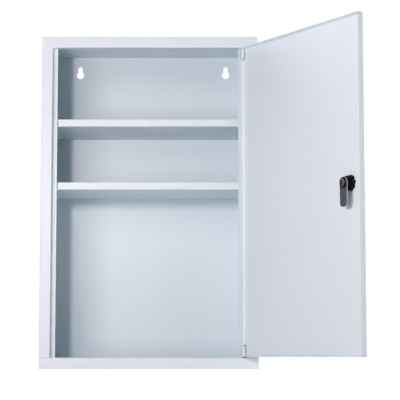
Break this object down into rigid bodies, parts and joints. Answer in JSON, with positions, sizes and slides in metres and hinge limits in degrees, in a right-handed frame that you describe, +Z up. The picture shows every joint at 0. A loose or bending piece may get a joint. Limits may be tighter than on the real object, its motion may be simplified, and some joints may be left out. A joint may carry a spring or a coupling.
{
  "type": "first aid cabinet",
  "caption": "Wall-hung sheet-metal first aid cabinet with fixed shelves, a hinged inset door and a key-operated cam lock.",
  "frame": {"origin": "midway between the round parts of the two keyholes, on the back panel's rear face", "axes": "+X to the right seen from the front, +Y into the wall, +Z up"},
  "size_m": [0.4225, 0.3624, 0.46],
  "materials": {
    "white_coat": "semi-gloss powder coat, cool white",
    "pin_steel": "blackened steel",
    "black_lock": "satin black coated zinc",
    "dark_washer": "blackened steel",
    "cam_zinc": "dark burnished steel with bright sheared edges",
    "bolt_finish": "brown passivated steel, worn bright at the edges",
    "plug_metal": "nickel plated brass",
    "wafer_brass": "plain brass",
    "spring_steel": "spring wire"
  },
  "bodies": {
    "cabinet": {"top_panel": "white_coat", "bottom_panel": "white_coat", "left_side_panel": "white_coat", "right_side_panel": "white_coat", "back_panel": "white_coat", "upper_shelf": "white_coat", "lower_shelf": "white_coat", "upper_hinge_pin": "pin_steel", "lower_hinge_pin": "pin_steel"},
    "door": {"door_panel": "white_coat", "upper_hinge_leaf": "white_coat", "lower_hinge_leaf": "white_coat", "lock_housing": "black_lock", "lock_washer": "black_lock", "lock_nut": "black_lock"},
    "lock_core": {"lock_plug": "plug_metal", "cam_stop_washer": "dark_washer", "lock_cam": "cam_zinc", "cam_washer": "dark_washer", "cam_bolt": "bolt_finish", "lock_wafers": "wafer_brass", "wafer_springs": "spring_steel"}
  },
  "joints": [
    {"name": "door_hinge", "type": "hinge", "parent": "cabinet", "child": "door", "pos_m": [0.1298, -0.13645, 0], "axis": [0, 0, 1], "range_deg": [-122.5, 2.5]},
    {"name": "lock_turn", "type": "hinge", "parent": "door", "child": "lock_core", "pos_m": [0.25828, -0.333, -0.201], "axis": [-0.8434, -0.5373, 0], "range_deg": [0, 90]}
  ]
}
